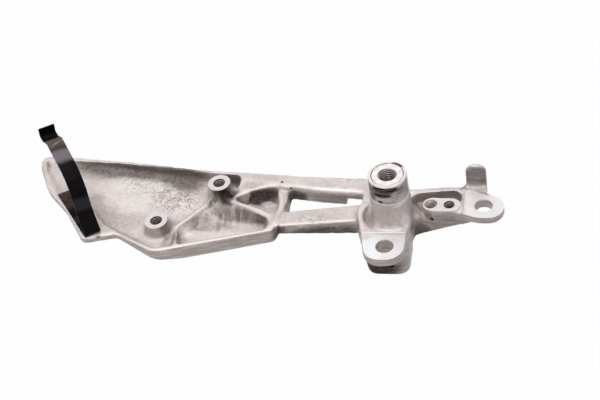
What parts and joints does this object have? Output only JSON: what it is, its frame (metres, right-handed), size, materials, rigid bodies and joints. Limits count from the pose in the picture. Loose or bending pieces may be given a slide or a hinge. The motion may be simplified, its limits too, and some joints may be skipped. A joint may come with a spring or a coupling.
{
  "type": "motorcycle footrest hanger",
  "caption": "Cast motorcycle footrest hanger: a ribbed heel plate and open arms that carry a tall threaded pivot boss and bolting lugs, with a sprung strap at the plate's corner.",
  "frame": {"origin": "on the pivot boss's axis, in the plane of the machined lug faces that bolt to the motorcycle", "axes": "+Z along the pivot boss's axis, out of the side that faces the frame; +X along the arms, away from the heel plate"},
  "size_m": [0.3155, 0.0916, 0.0851],
  "materials": {
    "cast_aluminium": "weathered raw casting, faces of the lugs and bosses machined",
    "insert_steel": "turned",
    "black_strap": "black satin"
  },
  "bodies": {
    "root": {"hanger": "cast_aluminium", "pivot_insert": "insert_steel", "wire_thread_insert": "insert_steel", "spring_strap": "black_strap", "strap_rivet": "black_strap"}
  },
  "joints": []
}
